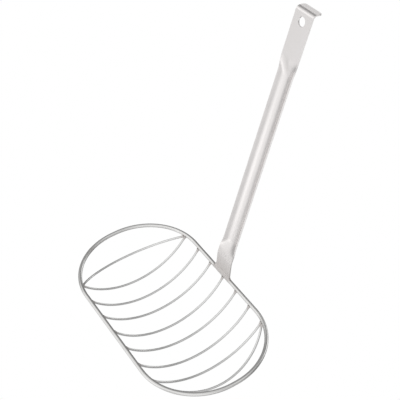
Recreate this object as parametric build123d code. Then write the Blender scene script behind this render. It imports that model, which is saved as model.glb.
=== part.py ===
from build123d import *
from math import asin, cos, hypot, radians, sin, sqrt, tan
import os

# A wire scoop for lifting boiled potatoes: an oval rim ring, seven wires bowed across it, one more wire
# bowed outwards at each end, and a channelled sheet-metal handle welded to the middle of a long side.
#
# Built in millimetres with the rim level and its centre at (0, 0, 0): X runs along the basket, +Y points
# to the handle's side and +Z out of the basket's mouth. The finished pieces are then moved so that the
# origin is the centre of the hang hole. Heights s are measured up the handle's straight part from its
# lower bend.

# Rim ring
basket_length = 200.0
basket_width = 110.0
rim_wire = 3.3
rim_corner_radius = 51.5        # of the wire's centre-line: a little less than half the ring's width

# Wires
cross_wire = 1.8
wire_pitch = 19.8
wire_inset = 2.0                # their ends lie this far inside the rim's centre-line and below it
wire_overrun = 1.1              # each wire runs on into the rim before it is trimmed to it
cross_sags = (23.5, 25.0, 24.2, 26.5, 25.0, 25.5, 22.7)  # how far each middle hangs below its ends
end_gap = 3.2                   # from the outermost cross wire to the end wire beside it
left_end_reach = 20.8           # how far each end wire's middle stands out, and how far it hangs
left_end_sag = 15.5
right_end_reach = 15.0
right_end_sag = 21.7

# Weld collars where the wires meet the rim
collar_root_radius = 1.5
collar_tip_radius = 0.95
collar_length = 2.2             # from the rim's surface along the wire

# Handle
strip_width = 20.0
strip_thickness = 1.2
handle_offset = -2.0            # the handle is welded slightly off the middle
tab_angle = 80.0                # of each straight part, above the rim's plane
handle_angle = 68.5
tab_length = 16.5
tab_sunk = 1.0                  # the tab's foot runs on into the rim before it is trimmed to it
handle_length = 224.0           # from the lower bend to the hook's bend
lower_bend_radius = 8.0
hook_angle = -12.0
hook_length = 7.2
hook_bend_radius = 3.2
hook_corner_radius = 2.0
channel_radius = 13.3           # of the sheet's middle, across the channel
channel_start = 16.0
channel_end = 176.0
lower_flat = 3.0                # the channel has run out into flat strip below this height ...
upper_flat = 196.0              # ... and above this one
transition_steps = 6
hole_diameter = 7.5
hole_below_hook = 8.8

# Weld between the handle's foot and the rim
weld_overhang = 1.8             # past each side of the tab
weld_height = 4.2               # above the rim's centre-line
weld_proud = 0.25               # its top edge stands this far off the tab's faces
weld_toe_reach = 1.75           # its toe, to each side of the rim's centre-line
weld_toe_height = 0.3

rim_half_length = (basket_length - rim_wire) / 2
rim_half_width = (basket_width - rim_wire) / 2
rim_top = rim_wire / 2


def along(angle):
    """Unit vector in the YZ plane at an angle above +Y."""
    return Vector(0, cos(radians(angle)), sin(radians(angle)))


tab_up = along(tab_angle)
handle_up = along(handle_angle)
foot = Vector(handle_offset, rim_half_width, rim_top)
lower_bend = foot + tab_up * tab_length
hook_bend = lower_bend + handle_up * handle_length
hang_hole = hook_bend - handle_up * hole_below_hook


def rim_half_width_at(x):
    """Half width of the rim's centre-line at a place along the basket."""
    past_straight = max(abs(x) - (rim_half_length - rim_corner_radius), 0.0)
    return rim_half_width - rim_corner_radius + sqrt(rim_corner_radius**2 - past_straight**2)


def rim_ring():
    path = RectangleRounded(2 * rim_half_length, 2 * rim_half_width, rim_corner_radius).wire()
    section = Plane(path @ 0, z_dir=path % 0) * Circle(rim_wire / 2)
    return sweep(section, path)


def wire_arc(x, reach, sag):
    """End, middle and radius of a wire's circular arc, in its own leaning plane."""
    half_chord = rim_half_width_at(x) - wire_inset
    rise = hypot(reach, sag)
    radius = (half_chord**2 + rise**2) / (2 * rise)
    return half_chord, rise, radius


def bowed_wire(x, reach, sag, rim):
    """One wire along an arc from rim to rim. Its middle stands out by reach in X and hangs by sag."""
    half_chord, rise, radius = wire_arc(x, reach, sag)
    end = half_chord + wire_overrun
    lift = sqrt(radius**2 - half_chord**2) - sqrt(radius**2 - end**2)
    out, down = reach / rise, sag / rise

    def point(y, depth):
        return Vector(x + out * depth, y, -wire_inset - down * depth)

    path = ThreePointArc(point(-end, -lift), point(0, rise), point(end, -lift))
    section = Plane(path @ 0, z_dir=path % 0) * Circle(cross_wire / 2)
    return sweep(section, path) - rim


def weld_collar(x, reach, sag, side, rim, wire):
    """Weld metal round one end of a wire, tapering from the rim on to the wire."""
    half_chord, rise, radius = wire_arc(x, reach, sag)
    slope = asin(half_chord / radius)
    inward = Vector(reach / rise * sin(slope), -side * cos(slope), -sag / rise * sin(slope))
    root = Vector(x, side * half_chord, -wire_inset) - inward * wire_inset
    length = wire_inset * sqrt(2) + collar_length
    collar = Plane(root, z_dir=inward) * Cone(
        collar_root_radius, collar_tip_radius, length, align=(Align.CENTER, Align.CENTER, Align.MIN)
    )
    return collar - [rim, wire]


def strip_section(s, curvature):
    """The sheet's cross-section at height s. Its edges stay in one plane, its middle bulges backwards."""
    plane = Plane(lower_bend + handle_up * s, x_dir=(1, 0, 0), z_dir=handle_up)
    half = strip_thickness / 2
    if curvature == 0:
        return plane * Rectangle(strip_width, strip_thickness)
    radius = 1 / curvature
    edge_angle = strip_width / 2 * curvature
    centre = -radius * cos(edge_angle)

    def on_arc(r, angle):
        return (r * sin(angle), centre + r * cos(angle))

    outer = [on_arc(radius + half, a) for a in (-edge_angle, 0, edge_angle)]
    inner = [on_arc(radius - half, a) for a in (edge_angle, 0, -edge_angle)]
    edges = [
        ThreePointArc(*outer),
        Line(outer[-1], inner[0]),
        ThreePointArc(*inner),
        Line(inner[-1], outer[0]),
    ]
    return plane * make_face(edges)


def channel_transition(flat, full):
    """The stretch where flat strip at one height turns into full channel at the other."""
    sections = []
    for i in range(transition_steps + 1):
        part = i / transition_steps
        eased = part * part * (3 - 2 * part)
        sections.append(strip_section(flat + (full - flat) * part, eased / channel_radius))
    return loft(sections)


def channel():
    section = strip_section(channel_start, 1 / channel_radius)
    return extrude(section, channel_end - channel_start, dir=handle_up)


def bent_strip(points, bend_radius):
    """Flat strip along three points in the YZ plane, with one rounded bend."""
    path = FilletPolyline(*points, radius=bend_radius)
    section = Plane(path @ 0, x_dir=(1, 0, 0), z_dir=path % 0) * Rectangle(strip_width, strip_thickness)
    return sweep(section, path)


def tab():
    below = foot - tab_up * (rim_top + tab_sunk)
    return bent_strip([below, lower_bend, lower_bend + handle_up * lower_flat], lower_bend_radius)


def hang_end():
    tip = hook_bend + along(hook_angle) * hook_length
    strip = bent_strip([lower_bend + handle_up * upper_flat, hook_bend, tip], hook_bend_radius)
    tip_corners = [
        e
        for e in strip.edges()
        if e.length < 2 * strip_thickness and (e.center() - tip).length < strip_width / 2 + strip_thickness
    ]
    strip = fillet(tip_corners, hook_corner_radius)
    through = Plane(hang_hole, z_dir=along(handle_angle + 90))
    return strip - through * Cylinder(hole_diameter / 2, 4 * strip_thickness)


def handle(rim):
    pieces = [
        tab(),
        channel_transition(lower_flat, channel_start),
        channel(),
        channel_transition(upper_flat, channel_end),
        hang_end(),
    ]
    return pieces[0].fuse(*pieces[1:]) - rim


def handle_weld(neighbours):
    """Weld bead over the rim at the tab's foot, from one side of the rim to the other."""
    tab_middle = rim_half_width + (weld_height - rim_top) / tan(radians(tab_angle))
    top_reach = strip_thickness / 2 + weld_proud
    outline = Polyline(
        (rim_half_width - weld_toe_reach, -weld_toe_height),
        (rim_half_width - weld_toe_reach, weld_toe_height),
        (tab_middle - top_reach, weld_height),
        (tab_middle + top_reach, weld_height),
        (rim_half_width + weld_toe_reach, weld_toe_height),
        (rim_half_width + weld_toe_reach, -weld_toe_height),
        close=True,
    )
    length = strip_width + 2 * weld_overhang
    start = Plane((handle_offset - length / 2, 0, 0), x_dir=(0, 1, 0), z_dir=(1, 0, 0))
    return extrude(start * make_face(outline), length) - neighbours


def build():
    """Every piece by its node's name."""
    rim = rim_ring()
    nodes = {"rim_ring": rim}
    places = []
    middle = len(cross_sags) // 2
    for i, sag in enumerate(cross_sags):
        places.append((f"cross_wire_{i + 1}", (i - middle) * wire_pitch, 0.0, sag))
    end_x = middle * wire_pitch + end_gap
    places.append(("end_wire_left", -end_x, -left_end_reach, left_end_sag))
    places.append(("end_wire_right", end_x, right_end_reach, right_end_sag))
    collars = []
    for name, x, reach, sag in places:
        nodes[name] = bowed_wire(x, reach, sag, rim)
        collars += [weld_collar(x, reach, sag, side, rim, nodes[name]) for side in (-1, 1)]
    nodes["wire_welds"] = collars
    nodes["handle"] = handle(rim)
    nodes["handle_weld"] = handle_weld([rim, nodes["handle"], nodes[f"cross_wire_{middle + 1}"], *collars])
    return nodes


os.makedirs("parts", exist_ok=True)
to_hang_hole = Pos(-hang_hole.X, -hang_hole.Y, -hang_hole.Z)
for node, piece in build().items():
    solids = [s for p in (piece if isinstance(piece, list) else [piece]) for s in p.solids()]
    moved = [to_hang_hole * s for s in solids]
    export_step(moved[0] if len(moved) == 1 else Compound(children=moved), f"parts/{node}.step")
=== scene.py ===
"""A stainless wire scoop for lifting boiled potatoes, built around its measured frame.

An oval rim ring carries seven bowed cross wires and one more bowed wire at each end. A channelled
sheet-metal handle is welded to the middle of one long side, and ends in a hang hole and a small hook.
Every length is in metres. The origin is the centre of the hang hole, +X runs along the basket, +Y
points from the basket towards the handle, and +Z is up, out of the basket's mouth.
"""

from math import asin, atan2, cos, exp, hypot, pi, radians, sin, sqrt, tan

import bmesh
import bpy
from bpy.props import FloatProperty, FloatVectorProperty, PointerProperty
from bpy.types import Operator, Panel, PropertyGroup
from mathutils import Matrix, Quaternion, Vector, noise


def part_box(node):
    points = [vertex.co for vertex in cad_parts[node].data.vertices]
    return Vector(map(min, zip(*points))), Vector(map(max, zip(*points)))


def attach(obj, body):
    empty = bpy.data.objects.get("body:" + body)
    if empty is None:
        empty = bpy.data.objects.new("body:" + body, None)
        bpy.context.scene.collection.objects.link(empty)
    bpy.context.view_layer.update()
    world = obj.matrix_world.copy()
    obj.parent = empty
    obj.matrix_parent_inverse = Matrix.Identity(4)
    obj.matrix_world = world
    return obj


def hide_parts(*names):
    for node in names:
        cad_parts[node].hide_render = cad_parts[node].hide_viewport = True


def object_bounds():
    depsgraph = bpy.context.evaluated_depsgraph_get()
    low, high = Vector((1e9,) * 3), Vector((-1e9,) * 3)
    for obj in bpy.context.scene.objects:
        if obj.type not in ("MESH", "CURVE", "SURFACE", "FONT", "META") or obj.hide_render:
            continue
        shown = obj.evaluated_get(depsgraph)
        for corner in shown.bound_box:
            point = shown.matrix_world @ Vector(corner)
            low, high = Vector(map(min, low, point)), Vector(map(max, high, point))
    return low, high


bl_info = {
    "name": "Wire Potato Scoop",
    "version": (1, 0, 0),
    "blender": (4, 5, 0),
    "location": "3D View > Sidebar > Scoop",
    "description": "Builds a welded stainless wire scoop, its finishes and a plain studio",
    "category": "Add Mesh",
}

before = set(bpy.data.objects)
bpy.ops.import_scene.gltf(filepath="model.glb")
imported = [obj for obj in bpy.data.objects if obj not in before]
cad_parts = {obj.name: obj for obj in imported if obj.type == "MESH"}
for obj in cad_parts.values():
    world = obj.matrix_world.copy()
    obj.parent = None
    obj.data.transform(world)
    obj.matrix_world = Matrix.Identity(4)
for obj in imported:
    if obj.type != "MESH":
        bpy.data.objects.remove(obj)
cad_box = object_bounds()

MM = 0.001
WIRE_HEAT_SPREAD = 3.0 * MM    # how far a weld's heat has tinted the wires and the rim
TAB_TINT_AND_SHADE_SPREAD = 16.0 * MM    # and how far the handle's tab is darkened up from its weld: heat tint at the weld, painted shade further up
WELD_SPACING = 2.0 * MM        # between the places where the handle's weld is taken to be hot

CROSS_WIRES = [f"cross_wire_{i}" for i in range(1, 8)]
END_WIRES = ["end_wire_left", "end_wire_right"]

# Rim, from its own node
rim_low, rim_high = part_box("rim_ring")
RIM_CENTRE = (rim_low + rim_high) / 2
RIM_RADIUS = (rim_high.z - rim_low.z) / 2
RIM_HALF_LENGTH = (rim_high.x - rim_low.x) / 2 - RIM_RADIUS
RIM_HALF_WIDTH = (rim_high.y - rim_low.y) / 2 - RIM_RADIUS

# Handle, from its own node
handle_low, handle_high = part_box("handle")
HANDLE_X = (handle_low.x + handle_high.x) / 2


def along(angle):
    """Unit vector in the YZ plane, at an angle in degrees above +Y."""
    return Vector((0, cos(radians(angle)), sin(radians(angle))))


# ---------------------------------------------------------------- sizes and finishes a user would change


class ScoopSizes(PropertyGroup):
    rim_corner_radius: FloatProperty(
        name="Rim corner", description="Radius of the rim wire's middle round the basket's corners",
        default=51.5 * MM, min=0.01, max=RIM_HALF_WIDTH, unit="LENGTH", precision=4,
    )
    wire_inset: FloatProperty(
        name="Wire inset", description="How far inside and below the rim wire's middle each wire ends",
        default=2.0 * MM, min=0.0, max=0.004, unit="LENGTH", precision=4,
    )
    wire_radius: FloatProperty(
        name="Wire radius", description="Radius of the basket's wires",
        default=0.9 * MM, min=0.0004, max=0.002, unit="LENGTH", precision=4,
    )
    weld_length: FloatProperty(
        name="Weld length", description="How far each small weld runs out along its wire",
        default=3.0 * MM, min=0.001, max=0.006, unit="LENGTH", precision=4,
    )
    weld_spread: FloatProperty(
        name="Weld spread", description="Half width of each small weld where it meets the rim",
        default=1.7 * MM, min=0.001, max=0.004, unit="LENGTH", precision=4,
    )
    strip_width: FloatProperty(
        name="Strip width", description="Width of the handle's sheet, measured round its channel",
        default=20.0 * MM, min=0.01, max=0.03, unit="LENGTH", precision=4,
    )
    strip_thickness: FloatProperty(
        name="Strip thickness", description="Thickness of the handle's sheet",
        default=1.2 * MM, min=0.0006, max=0.002, unit="LENGTH", precision=4,
    )
    channel_radius: FloatProperty(
        name="Channel radius", description="Radius of the sheet's middle across the channel",
        default=13.3 * MM, min=0.008, max=0.1, unit="LENGTH", precision=4,
    )
    hole_diameter: FloatProperty(
        name="Hang hole", description="Diameter of the hang hole",
        default=7.5 * MM, min=0.002, max=0.01, unit="LENGTH", precision=4,
    )


class ScoopFinish(PropertyGroup):
    rim_colour: FloatVectorProperty(
        name="Rim steel", description="Colour of the polished rim wire",
        subtype="COLOR", size=3, min=0, max=1, default=(0.74, 0.735, 0.725),
    )
    wire_colour: FloatVectorProperty(
        name="Wire steel", description="Colour of the drawn basket wires",
        subtype="COLOR", size=3, min=0, max=1, default=(0.76, 0.758, 0.752),
    )
    handle_colour: FloatVectorProperty(
        name="Handle steel", description="Colour of the satin handle sheet",
        subtype="COLOR", size=3, min=0, max=1, default=(0.795, 0.77, 0.762),
    )
    weld_colour: FloatVectorProperty(
        name="Weld steel", description="Colour of the weld metal",
        subtype="COLOR", size=3, min=0, max=1, default=(0.68, 0.655, 0.645),
    )
    # Also the colour of the painted shade up the handle's tab
    heat_tint_and_shade_colour: FloatVectorProperty(
        name="Heat tint", description="Colour of the steel that the welding has darkened",
        subtype="COLOR", size=3, min=0, max=1, default=(0.50, 0.465, 0.44),
    )


class ScoopStudio(PropertyGroup):
    floor_colour: FloatVectorProperty(
        name="Floor", description="Colour of the plain floor",
        subtype="COLOR", size=3, min=0, max=1, default=(1.0, 1.0, 1.0),
    )
    key_light: FloatProperty(
        name="Key light", description="Power of the softbox overhead",
        default=0.3, min=0, max=100, unit="POWER",
    )
    side_light: FloatProperty(
        name="Side light", description="Power of the softbox that lights the channel",
        default=0.10, min=0, max=100, unit="POWER",
    )
    hook_light: FloatProperty(
        name="Hook light", description="Power of the small softbox behind the hook",
        default=0.028, min=0, max=100, unit="POWER",
    )
    edge_light: FloatProperty(
        name="Edge light", description="Power of the small softbox that lifts the handle's cut edge",
        default=0.03, min=0, max=100, unit="POWER",
    )


# ---------------------------------------------------------------- mesh helpers


def named_mesh(name, form, material, slot, *nodes):
    """Makes an object of a finished bmesh, smooth-shaded, riding on the frame in place of its nodes."""
    bmesh.ops.recalc_face_normals(form, faces=form.faces)
    for face in form.faces:
        face.smooth = True
    mesh = bpy.data.meshes.new(name)
    form.to_mesh(mesh)
    form.free()
    mesh.materials.append(material)
    piece = bpy.data.objects.new(name, mesh)
    bpy.context.scene.collection.objects.link(piece)
    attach(piece, "root")
    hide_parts(*nodes)
    return piece


def new_form():
    """A bmesh with what the steel finishes read: each point's place in the grain, and its heat tint, which on
    the handle's tab also holds painted shade.
    """
    form = bmesh.new()
    grain = form.verts.layers.float_vector.new("grain_place")
    heat = form.verts.layers.float.new("weld_heat")
    return form, grain, heat


def ring_of(form, grain, heat, centre, across, up, outline, travelled, warmth):
    """One closed loop of points round a wire or bead, each with its place in the grain and its heat."""
    loop = []
    for out, rise in outline:
        point = form.verts.new(centre + across * out + up * rise)
        point[grain] = (out, rise, travelled)
        point[heat] = warmth(point.co)
        loop.append(point)
    return loop


def bridge(form, first, second):
    """Joins two closed loops of points with faces."""
    count = len(first)
    for i in range(count):
        j = (i + 1) % count
        form.faces.new((first[i], first[j], second[j], second[i]))


def tube(form, loops):
    """Joins closed loops of points, in order, into a tube with both its ends closed."""
    for first, second in zip(loops, loops[1:]):
        bridge(form, first, second)
    form.faces.new(loops[0])
    form.faces.new(loops[-1])


def circle(radius, sides):
    return [(radius * cos(2 * pi * i / sides), radius * sin(2 * pi * i / sides)) for i in range(sides)]


def smooth(value):
    """Eases 0..1, and holds outside it."""
    held = min(max(value, 0.0), 1.0)
    return held * held * (3 - 2 * held)


# ---------------------------------------------------------------- the rim and the wires as curves


def rim_path(corner_radius, step):
    """Places round the rim wire's middle, as (point, direction, distance travelled), from the +X end."""
    straight_x = RIM_HALF_LENGTH - corner_radius
    straight_y = RIM_HALF_WIDTH - corner_radius
    corners = [(straight_x, straight_y), (-straight_x, straight_y),
               (-straight_x, -straight_y), (straight_x, -straight_y)]
    quarter_turn = pi / 2
    arc_steps = round(corner_radius * quarter_turn / step)
    places = []
    travelled = 0.0
    for quarter, (cx, cy) in enumerate(corners):
        start = quarter * quarter_turn
        for i in range(arc_steps + 1):
            a = start + i / arc_steps * quarter_turn
            point = RIM_CENTRE + Vector((cx + corner_radius * cos(a), cy + corner_radius * sin(a), 0))
            places.append((point, Vector((-sin(a), cos(a), 0)), travelled + corner_radius * (a - start)))
        travelled += corner_radius * quarter_turn
        run = 2 * (straight_x if quarter % 2 == 0 else straight_y)
        run_steps = max(round(run / step), 2)
        point, heading, _ = places[-1]
        for i in range(1, run_steps):
            places.append((point + heading * run * i / run_steps, heading, travelled + run * i / run_steps))
        travelled += run
    return places


def rim_half_width_at(x, corner_radius):
    """Half width of the rim wire's middle, at a place along the basket measured from its centre."""
    past_straight = max(abs(x) - (RIM_HALF_LENGTH - corner_radius), 0.0)
    return RIM_HALF_WIDTH - corner_radius + sqrt(corner_radius**2 - past_straight**2)


def wire_arc(node, sizes):
    """A basket wire's arc from its node: its x, how far its middle stands out, its sag and its radius."""
    low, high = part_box(node)
    sag = RIM_CENTRE.z - sizes.wire_inset - (low.z + sizes.wire_radius)
    if node == "end_wire_left":
        x, reach = high.x - sizes.wire_radius, low.x - high.x + 2 * sizes.wire_radius
    elif node == "end_wire_right":
        x, reach = low.x + sizes.wire_radius, high.x - low.x - 2 * sizes.wire_radius
    else:
        x, reach = (low.x + high.x) / 2, 0.0
    half_chord = rim_half_width_at(x - RIM_CENTRE.x, sizes.rim_corner_radius) - sizes.wire_inset
    rise = hypot(reach, sag)
    radius = (half_chord**2 + rise**2) / (2 * rise)
    return x, reach, sag, half_chord, radius


def wire_path(node, sizes, run_on, steps):
    """Places along one wire, as (point, direction, travelled), and the normal of its own leaning plane."""
    x, reach, sag, half_chord, radius = wire_arc(node, sizes)
    rise = hypot(reach, sag)
    lean = Vector((reach / rise, 0, -sag / rise))
    middle = Vector((x, RIM_CENTRE.y, RIM_CENTRE.z - sizes.wire_inset)) + lean * (rise - radius)
    end_angle = asin(half_chord / radius) + run_on / radius
    places = []
    for i in range(steps + 1):
        a = end_angle * (2 * i / steps - 1)
        point = middle + lean * radius * cos(a) + Vector((0, 1, 0)) * radius * sin(a)
        heading = Vector((0, 1, 0)) * cos(a) - lean * sin(a)
        places.append((point, heading, radius * (a + end_angle)))
    return places, lean.cross(Vector((0, 1, 0)))


def weld_spots(sizes):
    """Every place where a wire's end meets the rim, with the direction in which the wire leaves it."""
    spots = []
    for node in CROSS_WIRES + END_WIRES:
        places, side_normal = wire_path(node, sizes, 0.0, 2)
        first, last = places[0], places[-1]
        spots.append((first[0], first[1], side_normal))
        spots.append((last[0], -last[1], side_normal))
    return spots


def warmth_near(spots, spread):
    """How much the welding has warmed a point: 1 at a weld, and fading over the spread. Over the handle's tab
    the spread is wide, and the fade is painted shade.
    """

    def warmth(point):
        nearest = min((point - spot).length for spot in spots)
        return exp(-((nearest / spread) ** 2))

    return warmth


def even_warmth(amount):
    """The same warmth at every point, for weld metal itself."""
    return lambda point: amount


# ---------------------------------------------------------------- steel finishes


PER_MM = 1000           # the streaks' width is given in millimetres
STREAK_RATE = 18        # how fast a streak changes, per metre along the grain
BLOTCH_SCALE = 90
HEAT_PATCH_SCALE = 400
HEAT_PATCH_RANGE = 0.6  # the heat tint varies by this much ...
HEAT_PATCH_LEAST = 0.7  # ... above this
HEAT_DULLING = 0.2      # how much rougher fully tinted steel is
STREAK_DEPTH = 0.05 * MM


def group_input(group, kind, name, value):
    socket = group.interface.new_socket(name, in_out="INPUT", socket_type=kind)
    socket.default_value = value


def combined(tree, operation, *terms):
    """The output of a math node whose inputs are sockets or plain numbers."""
    node = tree.nodes.new("ShaderNodeMath")
    node.operation = operation
    for socket, term in zip(node.inputs, terms):
        if isinstance(term, (int, float)):
            socket.default_value = term
        else:
            tree.links.new(term, socket)
    return node.outputs[0]


def steel_grain_group():
    """Fine streaks along the way the steel was drawn or brushed, with soft blotches from handling."""
    group = bpy.data.node_groups.get("steel_grain")
    if group:
        return group
    group = bpy.data.node_groups.new("steel_grain", "ShaderNodeTree")
    group_input(group, "NodeSocketColor", "Steel", (0.6, 0.6, 0.6, 1))
    group_input(group, "NodeSocketFloat", "Roughness", 0.25)
    group_input(group, "NodeSocketFloat", "Streaks", 0.05)
    group_input(group, "NodeSocketFloat", "Streak Width", 0.3)
    group_input(group, "NodeSocketFloat", "Blotches", 0.05)
    group.interface.new_socket("Colour", in_out="OUTPUT", socket_type="NodeSocketColor")
    group.interface.new_socket("Roughness", in_out="OUTPUT", socket_type="NodeSocketFloat")
    group.interface.new_socket("Height", in_out="OUTPUT", socket_type="NodeSocketFloat")
    nodes, links = group.nodes, group.links
    given = nodes.new("NodeGroupInput")
    out = nodes.new("NodeGroupOutput")

    place = nodes.new("ShaderNodeAttribute")
    place.attribute_name = "grain_place"
    stretch = nodes.new("ShaderNodeVectorMath")
    stretch.operation = "MULTIPLY"
    stretch.inputs[1].default_value = (PER_MM, PER_MM, STREAK_RATE)
    links.new(place.outputs["Vector"], stretch.inputs[0])
    streak = nodes.new("ShaderNodeTexNoise")
    streak.inputs["Detail"].default_value = 3
    streak.inputs["Roughness"].default_value = 0.6
    links.new(stretch.outputs[0], streak.inputs["Vector"])
    links.new(combined(group, "DIVIDE", 1, given.outputs["Streak Width"]), streak.inputs["Scale"])

    where = nodes.new("ShaderNodeTexCoord")
    blotch = nodes.new("ShaderNodeTexNoise")
    blotch.inputs["Scale"].default_value = BLOTCH_SCALE
    blotch.inputs["Detail"].default_value = 4
    links.new(where.outputs["Object"], blotch.inputs["Vector"])

    def varied(fac, amount):
        """A noise's value, spread evenly about zero by an amount."""
        return combined(group, "MULTIPLY", combined(group, "SUBTRACT", fac, 0.5), amount)

    streaks = varied(streak.outputs["Fac"], given.outputs["Streaks"])
    blotches = varied(blotch.outputs["Fac"], given.outputs["Blotches"])
    both = combined(group, "ADD", streaks, blotches)
    tinted = nodes.new("ShaderNodeVectorMath")
    tinted.operation = "SCALE"
    links.new(given.outputs["Steel"], tinted.inputs[0])
    links.new(combined(group, "ADD", both, 1.0), tinted.inputs["Scale"])
    links.new(tinted.outputs[0], out.inputs["Colour"])
    links.new(combined(group, "ADD", both, given.outputs["Roughness"]), out.inputs["Roughness"])
    links.new(streak.outputs["Fac"], out.inputs["Height"])
    return group


def tint_and_shade_group():
    """Steel darkened and slightly coloured near a weld, with an uneven edge. On the handle's tab the
    darkening reaches far up as painted shade.
    """
    group = bpy.data.node_groups.get("weld_heat")
    if group:
        return group
    group = bpy.data.node_groups.new("weld_heat", "ShaderNodeTree")
    group_input(group, "NodeSocketColor", "Steel", (0.6, 0.6, 0.6, 1))
    group_input(group, "NodeSocketColor", "Tint", (0.4, 0.37, 0.33, 1))
    group_input(group, "NodeSocketFloat", "Amount", 0.5)
    group.interface.new_socket("Colour", in_out="OUTPUT", socket_type="NodeSocketColor")
    group.interface.new_socket("Mask", in_out="OUTPUT", socket_type="NodeSocketFloat")
    nodes, links = group.nodes, group.links
    given = nodes.new("NodeGroupInput")
    out = nodes.new("NodeGroupOutput")
    heat = nodes.new("ShaderNodeAttribute")
    heat.attribute_name = "weld_heat"
    where = nodes.new("ShaderNodeTexCoord")
    uneven = nodes.new("ShaderNodeTexNoise")
    uneven.inputs["Scale"].default_value = HEAT_PATCH_SCALE
    uneven.inputs["Detail"].default_value = 3
    links.new(where.outputs["Object"], uneven.inputs["Vector"])
    patchy = combined(group, "MULTIPLY_ADD", uneven.outputs["Fac"], HEAT_PATCH_RANGE, HEAT_PATCH_LEAST)
    warm = combined(group, "MULTIPLY", heat.outputs["Fac"], patchy)
    mask = combined(group, "MULTIPLY", warm, given.outputs["Amount"])
    mask.node.use_clamp = True
    mix = nodes.new("ShaderNodeMix")
    mix.data_type = "RGBA"
    links.new(mask, mix.inputs["Factor"])
    links.new(given.outputs["Steel"], mix.inputs["A"])
    links.new(given.outputs["Tint"], mix.inputs["B"])
    links.new(mix.outputs["Result"], out.inputs["Colour"])
    links.new(mask, out.inputs["Mask"])
    return group


def steel(name, colour, roughness, streaks, streak_width, blotches, tint_and_shade_amount, bump):
    """A stainless finish: drawn or brushed grain, handling blotches and heat tint near the welds, which on
    the handle's tab reaches far up as painted shade.

    Its name is never one of the frame's own materials, or that plain material would be handed back.
    """
    material = bpy.data.materials.get(name)
    if material:
        return material
    finish = bpy.context.scene.scoop_finish
    material = bpy.data.materials.new(name)
    material.use_nodes = True
    nodes, links = material.node_tree.nodes, material.node_tree.links
    surface = nodes["Principled BSDF"]
    surface.inputs["Metallic"].default_value = 1.0
    grain = nodes.new("ShaderNodeGroup")
    grain.node_tree = steel_grain_group()
    grain.inputs["Steel"].default_value = (*colour, 1)
    grain.inputs["Roughness"].default_value = roughness
    grain.inputs["Streaks"].default_value = streaks
    grain.inputs["Streak Width"].default_value = streak_width
    grain.inputs["Blotches"].default_value = blotches
    heat = nodes.new("ShaderNodeGroup")
    heat.node_tree = tint_and_shade_group()
    heat.inputs["Tint"].default_value = (*finish.heat_tint_and_shade_colour, 1)
    heat.inputs["Amount"].default_value = tint_and_shade_amount
    relief = nodes.new("ShaderNodeBump")
    relief.inputs["Strength"].default_value = bump
    relief.inputs["Distance"].default_value = STREAK_DEPTH
    links.new(grain.outputs["Colour"], heat.inputs["Steel"])
    links.new(heat.outputs["Colour"], surface.inputs["Base Color"])
    dulled = combined(material.node_tree, "MULTIPLY_ADD", heat.outputs["Mask"], HEAT_DULLING,
                      grain.outputs["Roughness"])
    links.new(dulled, surface.inputs["Roughness"])
    links.new(grain.outputs["Height"], relief.inputs["Height"])
    links.new(relief.outputs["Normal"], surface.inputs["Normal"])
    return material


def rim_steel():
    """Polished wire."""
    colour = bpy.context.scene.scoop_finish.rim_colour
    return steel("polished_rim", colour, roughness=0.22, streaks=0.08, streak_width=0.5,
                 blotches=0.08, tint_and_shade_amount=0.5, bump=0.05)


def wire_steel():
    """Wire as it was drawn, a little duller than the rim."""
    colour = bpy.context.scene.scoop_finish.wire_colour
    return steel("drawn_wire", colour, roughness=0.25, streaks=0.10, streak_width=0.4,
                 blotches=0.10, tint_and_shade_amount=0.4, bump=0.05)


def handle_steel():
    """Satin sheet, with the shallowest grain."""
    colour = bpy.context.scene.scoop_finish.handle_colour
    # Its heat tint spreads far up the tab as painted shade
    return steel("satin_sheet", colour, roughness=0.31, streaks=0.05, streak_width=0.35,
                 blotches=0.06, tint_and_shade_amount=0.5, bump=0.03)


def weld_steel():
    """Weld metal as it set, the dullest and coarsest of the four."""
    colour = bpy.context.scene.scoop_finish.weld_colour
    return steel("weld_metal", colour, roughness=0.38, streaks=0.08, streak_width=0.8,
                 blotches=0.12, tint_and_shade_amount=0.3, bump=0.10)


# ---------------------------------------------------------------- rim ring


class SCOOP_OT_rim_ring(Operator):
    """Bends and closes the oval rim wire, with the faint swelling where its ends were butt-welded"""

    bl_idname = "scoop.rim_ring"
    bl_label = "Rim ring"

    sides = 24
    step = 2.0 * MM
    butt_weld_inset = 6.0 * MM   # from the rim's left end, measured along the basket
    swelling = 0.07 * MM
    swelling_spread = 2.2 * MM
    hot_steps = range(-6, 6)     # where the handle's weld is hot, in steps of WELD_SPACING

    def execute(self, context):
        sizes = context.scene.scoop_sizes
        form, grain, heat = new_form()
        places = rim_path(sizes.rim_corner_radius, self.step)
        butt_weld = RIM_CENTRE + Vector((-RIM_HALF_LENGTH + self.butt_weld_inset, -RIM_HALF_WIDTH / 2, 0))
        butt_place = min(places, key=lambda place: (place[0] - butt_weld).length)[0]
        tab_foot = Vector((HANDLE_X, RIM_CENTRE.y + RIM_HALF_WIDTH, RIM_CENTRE.z))
        heated = [spot for spot, _, _ in weld_spots(sizes)] + [butt_place]
        heated += [tab_foot + Vector((i * WELD_SPACING, 0, 0)) for i in self.hot_steps]
        warmth = warmth_near(heated, WIRE_HEAT_SPREAD)
        up = Vector((0, 0, 1))
        loops = []
        for point, heading, travelled in places:
            from_weld = (point - butt_place).length / self.swelling_spread
            radius = RIM_RADIUS + self.swelling * exp(-(from_weld**2))
            out = heading.cross(up)
            outline = circle(radius, self.sides)
            loops.append(ring_of(form, grain, heat, point, out, up, outline, travelled, warmth))
        for first, second in zip(loops, loops[1:] + loops[:1]):
            bridge(form, first, second)
        named_mesh("rim_wire", form, rim_steel(), "rim_steel", "rim_ring")
        return {"FINISHED"}


# ---------------------------------------------------------------- basket wires


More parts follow.
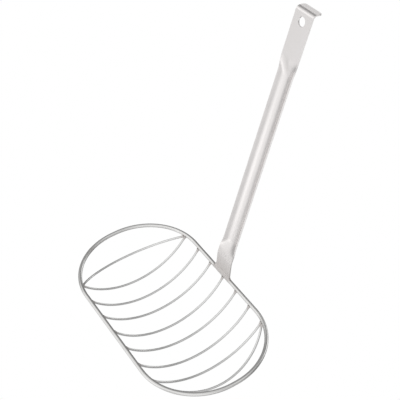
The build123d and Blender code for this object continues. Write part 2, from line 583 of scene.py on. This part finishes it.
class SCOOP_OT_basket_wires(Operator):
    """Bows each basket wire from one side of the rim to the other"""

    bl_idname = "scoop.basket_wires"
    bl_label = "Basket wires"

    sides = 18
    steps = 72
    run_on = 0.9 * MM           # into the rim, where the weld hides the end
    waver = 0.06 * MM           # how far a wire strays from its arc
    waver_rate = 40             # bumps per metre along the wire
    waver_shift = 7.3           # so that no two wires stray alike

    def execute(self, context):
        sizes = context.scene.scoop_sizes
        warmth = warmth_near([spot for spot, _, _ in weld_spots(sizes)], WIRE_HEAT_SPREAD)
        for number, node in enumerate(CROSS_WIRES + END_WIRES):
            form, grain, heat = new_form()
            places, side_normal = wire_path(node, sizes, self.run_on, self.steps)
            loops = []
            for point, heading, travelled in places:
                up = heading.cross(side_normal)
                place = Vector((number * self.waver_shift, travelled * self.waver_rate, 0))
                drift = noise.noise(place) * self.waver
                eased = sin(pi * travelled / places[-1][2])
                middle = point + side_normal * drift * eased
                outline = circle(sizes.wire_radius, self.sides)
                loops.append(ring_of(form, grain, heat, middle, side_normal, up, outline, travelled, warmth))
            tube(form, loops)
            named_mesh(f"{node}_drawn", form, wire_steel(), "wire_steel", node)
        return {"FINISHED"}


class SCOOP_OT_wire_welds(Operator):
    """Runs a small fan of weld metal from the rim out along each wire's end"""

    bl_idname = "scoop.wire_welds"
    bl_label = "Wire welds"

    sides = 20
    rings = 12
    sunk = 0.6                  # it starts inside the rim, this part of the wire's inset behind its end
    flare_power = 2.4
    flatness = 0.75             # its height where it meets the rim, as a part of its width
    tip = 0.96                  # it ends just inside the wire's own surface
    unevenness = 0.12
    lump_shift = 5.1            # so that no two welds are alike
    lumps_round = 1.3
    lumps_along = 2.5

    def execute(self, context):
        sizes = context.scene.scoop_sizes
        form, grain, heat = new_form()
        warmth = even_warmth(1.0)
        for number, (spot, outward, side_normal) in enumerate(weld_spots(sizes)):
            up = outward.cross(side_normal)
            start = spot - outward * sizes.wire_inset * self.sunk
            reach = sizes.wire_inset * self.sunk + sizes.weld_length
            tip = sizes.wire_radius * self.tip
            loops = []
            for i in range(self.rings + 1):
                part = i / self.rings
                flare = (1 - part) ** self.flare_power
                wide = tip + (sizes.weld_spread - sizes.wire_radius) * flare
                tall = tip + (sizes.weld_spread * self.flatness - sizes.wire_radius) * flare
                outline = []
                for out, rise in circle(1.0, self.sides):
                    place = Vector((out * self.lumps_round + number * self.lump_shift,
                                    rise * self.lumps_round, part * self.lumps_along))
                    lump = noise.noise(place)
                    swell = 1 + self.unevenness * lump * flare
                    outline.append((out * wide * swell, rise * tall * swell))
                centre = start + outward * reach * part
                loops.append(ring_of(form, grain, heat, centre, side_normal, up, outline, part, warmth))
            tube(form, loops)
        named_mesh("wire_weld_fans", form, weld_steel(), "weld_steel", "wire_welds")
        return {"FINISHED"}


# ---------------------------------------------------------------- handle


FLAT = 1e-6  # a curvature, per metre, too small to matter


class HandleShape:
    """The handle's sheet as a surface: how far across, and how far up from its lower bend."""

    tab_angle = 80.0
    handle_angle = 68.5
    hook_angle = -12.0
    tab_length = 16.5 * MM
    handle_length = 224.0 * MM
    hook_length = 7.2 * MM
    lower_bend_radius = 8.0 * MM
    hook_bend_radius = 3.2 * MM
    hook_corner_radius = 2.0 * MM
    tab_sunk = 0.6 * MM         # below the rim wire's underside
    lower_flat = 3.0 * MM       # the sheet is flat below this height
    channel_start = 16.0 * MM
    channel_end = 176.0 * MM
    fade_start = 172.0 * MM     # the channel starts to fade out here at its edges ...
    fade_end = 188.0 * MM       # ... and is flat sheet from here
    middle_lead = 3.0 * MM      # its middle does so this much sooner
    flare = 0.2 * MM            # the flat end is this much wider to each side
    hole_below_hook = 8.8 * MM
    hole_margin = 5.0 * MM      # of plain grid above and below the hole's centre
    hook_skew = 0.5 * MM        # the hook's right side is this much higher than its middle
    tab_rows = 10
    lower_bend_rows = 4
    hook_bend_rows = 12
    lip_rows = 8
    lip_crowding = 1.6          # gathers the lip's rows at its rounded corners
    transition_margin = (4.0 * MM, 6.0 * MM)  # close rows run this far into the even channel's two ends
    close_row = 1.0 * MM        # where the sheet's shape changes
    far_row = 3.0 * MM          # along the even channel

    def __init__(self, sizes):
        self.half = sizes.strip_width / 2
        self.channel_radius = sizes.channel_radius
        self.foot = Vector((HANDLE_X, RIM_CENTRE.y + RIM_HALF_WIDTH, RIM_CENTRE.z + RIM_RADIUS))
        self.lower_bend = self.foot + along(self.tab_angle) * self.tab_length
        self.hook_bend = self.lower_bend + along(self.handle_angle) * self.handle_length
        self.lower_cut = self.lower_bend_radius * tan(radians(self.tab_angle - self.handle_angle) / 2)
        self.hook_cut = self.hook_bend_radius * tan(radians(self.handle_angle - self.hook_angle) / 2)
        self.hole_height = self.handle_length - self.hole_below_hook

    def bend(self, corner, before, after, radius, cut, part):
        """Middle line's point and direction at a part, 0 to 1, of the way round a bend."""
        angle = before + (after - before) * part
        centre = corner - along(before) * cut + along(before - 90) * radius
        return centre + along(angle + 90) * radius, angle

    def stations(self):
        """Rows from foot to tip, as (middle point, direction's angle, height, distance to the tip)."""
        rows = []
        lowest = -(RIM_RADIUS + self.tab_sunk)
        top = self.tab_length - self.lower_cut
        far_from_tip = self.handle_length  # for the rows below the lip, whose width it doesn't change
        for i in range(self.tab_rows):
            s = lowest + (top - lowest) * i / self.tab_rows
            place = self.foot + along(self.tab_angle) * s
            rows.append((place, self.tab_angle, s - self.tab_length, far_from_tip))
        for i in range(self.lower_bend_rows + 1):
            part = i / self.lower_bend_rows
            point, angle = self.bend(self.lower_bend, self.tab_angle, self.handle_angle,
                                     self.lower_bend_radius, self.lower_cut, part)
            rows.append((point, angle, (2 * part - 1) * self.lower_cut, far_from_tip))
        hole_bottom = self.hole_height - self.hole_margin
        hole_top = self.hole_height + self.hole_margin
        even_from = self.channel_start + self.transition_margin[0]
        even_to = self.channel_end - self.transition_margin[1]
        straight = self.spaced(self.lower_cut, even_from, self.close_row)
        straight += self.spaced(even_from, even_to, self.far_row)
        straight += self.spaced(even_to, hole_bottom, self.close_row)
        straight += self.spaced(hole_bottom, hole_top, self.close_row)
        straight.append(hole_top)
        for s in straight[1:]:
            place = self.lower_bend + along(self.handle_angle) * s
            rows.append((place, self.handle_angle, s, far_from_tip))
        for i in range(self.hook_bend_rows + 1):
            part = i / self.hook_bend_rows
            point, angle = self.bend(self.hook_bend, self.handle_angle, self.hook_angle,
                                     self.hook_bend_radius, self.hook_cut, part)
            rows.append((point, angle, self.handle_length + (2 * part - 1) * self.hook_cut, far_from_tip))
        lip = self.hook_length - self.hook_cut
        for i in range(1, self.lip_rows + 1):
            s = lip * (1 - (1 - i / self.lip_rows) ** self.lip_crowding)
            point = self.hook_bend + along(self.hook_angle) * (self.hook_cut + s)
            rows.append((point, self.hook_angle, self.handle_length + self.hook_cut + s, lip - s))
        return rows

    @staticmethod
    def spaced(start, end, step):
        """Even heights from start up to, but not including, end."""
        count = max(round((end - start) / step), 1)
        return [start + (end - start) * i / count for i in range(count)]

    def curvature(self, s, across):
        """How sharply the sheet is curved. Its middle flattens sooner than its edges, which leaves a V."""
        lag = abs(across) / self.half
        ahead = s + self.middle_lead * (1 - lag)
        top = 1 - smooth((ahead - self.fade_start) / (self.fade_end - self.fade_start))
        foot = smooth((s - self.lower_flat) / (self.channel_start - self.lower_flat))
        return min(top, foot) / self.channel_radius

    def point(self, row, across):
        """A point of the sheet's middle surface, for a distance across measured round the sheet."""
        middle, angle, s, to_tip = row
        past_channel = (s - self.channel_end) / (self.handle_length - self.channel_end)
        half = self.half + self.flare * smooth(past_channel)
        if to_tip < self.hook_corner_radius:
            into_corner = self.hook_corner_radius - to_tip
            half -= self.hook_corner_radius - sqrt(self.hook_corner_radius**2 - into_corner**2)
        across *= half / self.half
        bent = self.curvature(s, across)
        sideways, behind = across, 0.0
        if bent > FLAT:
            sideways = sin(across * bent) / bent
            behind = (cos(across * bent) - cos(half * bent)) / bent
        hole_top = self.hole_height + self.hole_margin
        skewed = self.hook_skew * across / self.half * smooth((s - hole_top) / (self.hook_cut / 2))
        return (middle + Vector((1, 0, 0)) * sideways + along(angle - 90) * behind
                + along(self.handle_angle) * skewed)


class SCOOP_OT_handle(Operator):
    """Presses the handle from sheet: tab, channel, flat end with its hang hole, and hook"""

    bl_idname = "scoop.handle"
    bl_label = "Handle"

    columns = 20
    hole_block = 5              # rows and columns from the hole's centre to the plain grid's edge
    hole_rings = 4
    ring_crowding = 0.8         # gathers the rings towards the hole's edge
    edge_rounding = 0.5 * MM
    edge_segments = 4
    edge_angle = 50             # edges sharper than this are rounded
    hot_steps = range(-5, 6)    # where the foot's weld is hot and the tab's painted shade spreads from, in steps of WELD_SPACING

    def execute(self, context):
        sizes = context.scene.scoop_sizes
        shape = HandleShape(sizes)
        rows = shape.stations()
        form, grain, heat = new_form()
        foot_weld = [shape.foot + Vector((i * WELD_SPACING, 0, 0)) for i in self.hot_steps]
        # Heat tint at the weld, spread far up the tab as painted shade that darkens its foot
        warmth = warmth_near(foot_weld, TAB_TINT_AND_SHADE_SPREAD)

        def add(row, across):
            vert = form.verts.new(shape.point(row, across))
            vert[grain] = (across, 0, row[2])
            vert[heat] = warmth(vert.co)
            return vert

        middle_row = min(range(len(rows)), key=lambda i: abs(rows[i][2] - shape.hole_height))
        first, last = middle_row - self.hole_block, middle_row + self.hole_block
        centre_column = self.columns // 2
        left, right = centre_column - self.hole_block, centre_column + self.hole_block
        step = 2 * shape.half / self.columns
        net = {}
        for i, row in enumerate(rows):
            for j in range(self.columns + 1):
                if not (first < i < last and left < j < right):
                    net[i, j] = add(row, j * step - shape.half)
        for i in range(len(rows) - 1):
            for j in range(self.columns):
                if not (first <= i < last and left <= j < right):
                    form.faces.new((net[i, j], net[i, j + 1], net[i + 1, j + 1], net[i + 1, j]))

        border = [net[first, j] for j in range(left, right)]
        border += [net[i, right] for i in range(first, last)]
        border += [net[last, j] for j in range(right, left, -1)]
        border += [net[i, left] for i in range(last, first, -1)]
        centre = rows[middle_row][0]
        upward = along(shape.handle_angle)
        outer = border
        for ring in range(1, self.hole_rings + 1):
            part = ring / self.hole_rings
            loop = []
            for vert in border:
                offset = vert.co - centre
                a = atan2(offset.dot(upward), offset.x)
                edge = (Vector((1, 0, 0)) * cos(a) + upward * sin(a)) * sizes.hole_diameter / 2
                inner = form.verts.new(centre + offset.lerp(edge, part**self.ring_crowding))
                inner[grain] = (inner.co.x - centre.x, 0, shape.hole_height + (inner.co - centre).dot(upward))
                loop.append(inner)
            bridge(form, outer, loop)
            outer = loop
        piece = named_mesh("handle_sheet", form, handle_steel(), "handle_steel", "handle")
        sheet = piece.modifiers.new("sheet", "SOLIDIFY")
        sheet.thickness = sizes.strip_thickness
        sheet.offset = 0
        sheet.use_even_offset = True
        edges = piece.modifiers.new("edges", "BEVEL")
        edges.width = self.edge_rounding
        edges.segments = self.edge_segments
        edges.limit_method = "ANGLE"
        edges.angle_limit = radians(self.edge_angle)
        edges.harden_normals = True
        return {"FINISHED"}


class SCOOP_OT_handle_weld(Operator):
    """Lays the weld bead that joins the handle's foot to the rim"""

    bl_idname = "scoop.handle_weld"
    bl_label = "Handle weld"

    left_overhang = 4.0 * MM
    right_overhang = 0.5 * MM
    left_taper = 3.4 * MM
    right_taper = 1.19 * MM
    steps = 64
    height = 4.2 * MM           # above the rim wire's middle
    end_height = 0.8            # the same where the bead runs out, as a part of the rim wire's radius
    skin = 0.1 * MM             # of weld metal on the rim wire's flanks
    toe_angle = -20             # where it ends on them, in degrees above the rim wire's middle
    knee_height = 0.35          # of the flanks' bulge, as a part of the rim wire's radius
    knee_rise = 0.4 * MM
    proud = 0.12 * MM           # how far its top stands off the tab
    end_stand = 0.4             # the part of that distance and the tab's half thickness left at its ends
    flank_points = 10
    ripple = 0.05 * MM
    ripple_rates = (900, 700)   # along the bead and round it, per metre
    warmth = 0.8                # the bead is a little less tinted than the small welds

    def bead_outline(self, part, sizes):
        """The bead's closed outline round the rim and up the tab, as (Y, Z) from the rim wire's middle."""
        wrap = RIM_RADIUS + self.skin
        low = radians(self.toe_angle)
        lean = tan(radians(90 - HandleShape.tab_angle))
        end_top = RIM_RADIUS * self.end_height
        top = end_top + (self.height - end_top) * part
        stand = (sizes.strip_thickness / 2 + self.proud) * (self.end_stand + (1 - self.end_stand) * part)
        shoulders = []
        for side in (1, -1):
            foot = Vector((side * wrap * cos(low), wrap * sin(low)))
            head = Vector(((top - RIM_RADIUS) * lean + side * stand, top))
            knee = Vector((side * wrap, RIM_RADIUS * self.knee_height + self.knee_rise * part))
            curve = []
            for i in range(self.flank_points + 1):
                t = i / self.flank_points
                curve.append(foot * (1 - t) ** 2 + knee * 2 * t * (1 - t) + head * t**2)
            shoulders.append(curve)
        return [tuple(point) for point in shoulders[0] + shoulders[1][::-1]]

    def execute(self, context):
        sizes = context.scene.scoop_sizes
        form, grain, heat = new_form()
        middle = Vector((HANDLE_X, RIM_CENTRE.y + RIM_HALF_WIDTH, RIM_CENTRE.z))
        start = -sizes.strip_width / 2 - self.left_overhang
        end = sizes.strip_width / 2 + self.right_overhang
        across, up = Vector((0, 1, 0)), Vector((0, 0, 1))
        warmth = even_warmth(self.warmth)
        along_rate, round_rate = self.ripple_rates
        loops = []
        for i in range(self.steps + 1):
            x = start + (end - start) * i / self.steps
            part = smooth((x - start) / self.left_taper) * smooth((end - x) / self.right_taper)
            outline = []
            for y, z in self.bead_outline(part, sizes):
                place = Vector((x * along_rate, y * round_rate, z * round_rate))
                lump = noise.noise(place) * self.ripple * part
                scale = 1 + lump / max(hypot(y, z), RIM_RADIUS)
                outline.append((y * scale, z * scale))
            centre = middle + Vector((x, 0, 0))
            loops.append(ring_of(form, grain, heat, centre, across, up, outline, x, warmth))
        tube(form, loops)
        named_mesh("handle_weld_bead", form, weld_steel(), "weld_steel", "handle_weld")
        return {"FINISHED"}


# ---------------------------------------------------------------- studio


class SCOOP_OT_studio(Operator):
    """Sets up the plain pale floor, the soft lights and the camera"""

    bl_idname = "scoop.studio"
    bl_label = "Studio"

    floor_size = 6.0
    camera_place = Vector((0.5040, -0.3662, 0.4123))
    camera_aim = Vector((0.0216, -0.1086, -0.1009))
    camera_roll = radians(-5.29)
    camera_lens = 91.0
    camera_near = 0.01
    # Each softbox: name, setting for its power, what it lights, its direction from there, distance,
    # width and height
    softboxes = (
        ("key_softbox", "key_light", (0, -0.09, -0.15), (-0.64, -0.34, 0.68), 0.7, 0.5, 0.5),
        ("side_softbox", "side_light", (0, -0.04, -0.10), (-0.12, -0.98, -0.14), 0.9, 0.34, 0.2),
        ("hook_softbox", "hook_light", (0, 0.008, 0.008), (-0.675, 0.672, 0.305), 0.25, 0.12, 0.1),
        ("edge_softbox", "edge_light", (0.01, -0.01, -0.03), (0.667, 0.494, -0.556), 0.2, 0.1, 0.2),
    )
    # How light the room is, from the basket's far side (0) round to straight behind the handle (1)
    room_levels = ((0.0, 1.05), (0.3, 1.0), (0.5, 0.75), (0.66, 0.58),
                   (0.79, 0.29), (0.9, 0.18), (0.96, 0.42), (1.0, 0.8))
    dims_below = -0.4           # how far down a direction points, from 0 to -1, before the room dims ...
    lowest_level = 0.45         # ... and what is left of its light straight down
    # Lighter and darker parts of the room: direction, the angles in degrees at which each has faded
    # out and is at its strongest, and what it multiplies the light by
    patches = (
        ((-0.95, -0.15, -0.03), 43, 20, 0.45),
        ((-0.675, -0.02, 0.74), 37, 18, 0.55),
        ((0.35, 0.6, -0.7), 30, 12, 2.1),
        ((0.3, -0.94, -0.15), 22, 7, 0.66),
        ((0.4, 0.65, 0.62), 36, 16, 1.9),
        ((-0.2, 0.97, 0.1), 25, 8, 1.9),
    )

    def execute(self, context):
        scene = context.scene
        scene.view_settings.view_transform = "Standard"
        self.add_floor(scene)
        self.add_surroundings(scene)
        for name, setting, target, direction, distance, width, height in self.softboxes:
            power = getattr(scene.scoop_studio, setting)
            self.add_softbox(scene, name, Vector(target), Vector(direction), distance, width, height, power)
        self.add_camera(scene)
        return {"FINISHED"}

    def add_floor(self, scene):
        """A plain floor that only the camera sees, so that it doesn't light the steel."""
        form = bmesh.new()
        half = self.floor_size / 2
        outline = ((-half, -half), (half, -half), (half, half), (-half, half))
        form.faces.new([form.verts.new((x, y, cad_box[0].z)) for x, y in outline])
        mesh = bpy.data.meshes.new("floor")
        form.to_mesh(mesh)
        form.free()
        material = bpy.data.materials.new("pale_floor")
        material.use_nodes = True
        nodes, links = material.node_tree.nodes, material.node_tree.links
        nodes.clear()
        shine = nodes.new("ShaderNodeEmission")
        shine.inputs["Color"].default_value = (*scene.scoop_studio.floor_colour, 1)
        out = nodes.new("ShaderNodeOutputMaterial")
        links.new(shine.outputs[0], out.inputs["Surface"])
        mesh.materials.append(material)
        floor = bpy.data.objects.new("floor", mesh)
        scene.collection.objects.link(floor)
        floor.visible_glossy = False
        floor.visible_diffuse = False
        floor.visible_shadow = False

    def add_surroundings(self, scene):
        """A soft room, lightest on the basket's side and darker behind the handle and below."""
        world = bpy.data.worlds.new("soft_room")
        scene.world = world
        world.use_nodes = True
        nodes, links = world.node_tree.nodes, world.node_tree.links
        nodes.clear()
        where = nodes.new("ShaderNodeTexCoord")
        axes = nodes.new("ShaderNodeSeparateXYZ")
        links.new(where.outputs["Generated"], axes.inputs[0])
        behind = nodes.new("ShaderNodeMapRange")
        behind.inputs["From Min"].default_value = -1
        links.new(axes.outputs["Y"], behind.inputs["Value"])
        side = nodes.new("ShaderNodeValToRGB")
        links.new(behind.outputs[0], side.inputs[0])
        self.fill_ramp(side, self.room_levels)
        below = nodes.new("ShaderNodeMapRange")
        below.inputs["From Min"].default_value = -1
        below.inputs["From Max"].default_value = self.dims_below
        below.inputs["To Min"].default_value = self.lowest_level
        links.new(axes.outputs["Z"], below.inputs["Value"])
        level = side.outputs[0]
        for direction, edge, core, change in self.patches:
            towards = nodes.new("ShaderNodeVectorMath")
            towards.operation = "DOT_PRODUCT"
            towards.inputs[1].default_value = Vector(direction).normalized()
            links.new(where.outputs["Generated"], towards.inputs[0])
            patch = nodes.new("ShaderNodeMapRange")
            patch.interpolation_type = "SMOOTHSTEP"
            patch.inputs["From Min"].default_value = cos(radians(edge))
            patch.inputs["From Max"].default_value = cos(radians(core))
            patch.inputs["To Min"].default_value = 1.0
            patch.inputs["To Max"].default_value = change
            links.new(towards.outputs["Value"], patch.inputs["Value"])
            level = combined(world.node_tree, "MULTIPLY", level, patch.outputs[0])
        level = combined(world.node_tree, "MULTIPLY", level, below.outputs[0])
        seen = nodes.new("ShaderNodeLightPath")
        # The camera itself sees a plain white room
        level = combined(world.node_tree, "MAXIMUM", level, seen.outputs["Is Camera Ray"])
        air = nodes.new("ShaderNodeBackground")
        air.inputs["Color"].default_value = (1, 1, 1, 1)
        links.new(level, air.inputs["Strength"])
        out = nodes.new("ShaderNodeOutputWorld")
        links.new(air.outputs[0], out.inputs["Surface"])

    @staticmethod
    def fill_ramp(ramp, levels):
        """Sets a colour ramp's stops to grey levels."""
        elements = ramp.color_ramp.elements
        while len(elements) < len(levels):
            elements.new(0.5)  # anywhere, since each is moved below
        for element, (place, level) in zip(elements, levels):
            element.position = place
            element.color = (level, level, level, 1)

    @staticmethod
    def add_softbox(scene, name, target, direction, distance, width, height, power):
        lamp = bpy.data.lights.new(name, "AREA")
        lamp.shape = "RECTANGLE"
        lamp.size = width
        lamp.size_y = height
        lamp.energy = power
        box = bpy.data.objects.new(name, lamp)
        box.location = target + direction.normalized() * distance
        box.rotation_mode = "QUATERNION"
        box.rotation_quaternion = (-direction).to_track_quat("-Z", "Y")
        box.visible_camera = False
        scene.collection.objects.link(box)

    def add_camera(self, scene):
        lens = bpy.data.cameras.new("camera")
        lens.lens = self.camera_lens
        lens.clip_start = self.camera_near
        camera = bpy.data.objects.new("camera", lens)
        camera.location = self.camera_place
        camera.rotation_mode = "QUATERNION"
        facing = (self.camera_aim - self.camera_place).to_track_quat("-Z", "Y")
        camera.rotation_quaternion = facing @ Quaternion((0, 0, 1), self.camera_roll)
        scene.collection.objects.link(camera)
        scene.camera = camera


# ---------------------------------------------------------------- panel and registration


class SCOOP_PT_maker(Panel):
    """Lists the scoop's sizes, finishes and lights, and a button for each part of it"""

    bl_label = "Wire Potato Scoop"
    bl_idname = "SCOOP_PT_maker"
    bl_space_type = "VIEW_3D"
    bl_region_type = "UI"
    bl_category = "Scoop"

    def draw(self, context):
        layout = self.layout
        for settings in (context.scene.scoop_sizes, context.scene.scoop_finish, context.scene.scoop_studio):
            box = layout.box()
            for name in settings.bl_rna.properties.keys():
                if name not in ("rna_type", "name"):
                    box.prop(settings, name)
        for operator in OPERATORS:
            layout.operator(operator.bl_idname)


SETTINGS = {"scoop_sizes": ScoopSizes, "scoop_finish": ScoopFinish, "scoop_studio": ScoopStudio}
OPERATORS = (
    SCOOP_OT_studio,
    SCOOP_OT_rim_ring,
    SCOOP_OT_basket_wires,
    SCOOP_OT_wire_welds,
    SCOOP_OT_handle,
    SCOOP_OT_handle_weld,
)


def register():
    for cls in (*SETTINGS.values(), *OPERATORS, SCOOP_PT_maker):
        bpy.utils.register_class(cls)
    for name, cls in SETTINGS.items():
        setattr(bpy.types.Scene, name, PointerProperty(type=cls))


def unregister():
    for name in SETTINGS:
        delattr(bpy.types.Scene, name)
    for cls in reversed((*SETTINGS.values(), *OPERATORS, SCOOP_PT_maker)):
        bpy.utils.unregister_class(cls)


def main():
    register()
    bpy.ops.scoop.studio()
    bpy.ops.scoop.rim_ring()
    bpy.ops.scoop.basket_wires()
    bpy.ops.scoop.wire_welds()
    bpy.ops.scoop.handle()
    bpy.ops.scoop.handle_weld()
    bpy.context.view_layer.update()


if __name__ == "__main__":
    main()
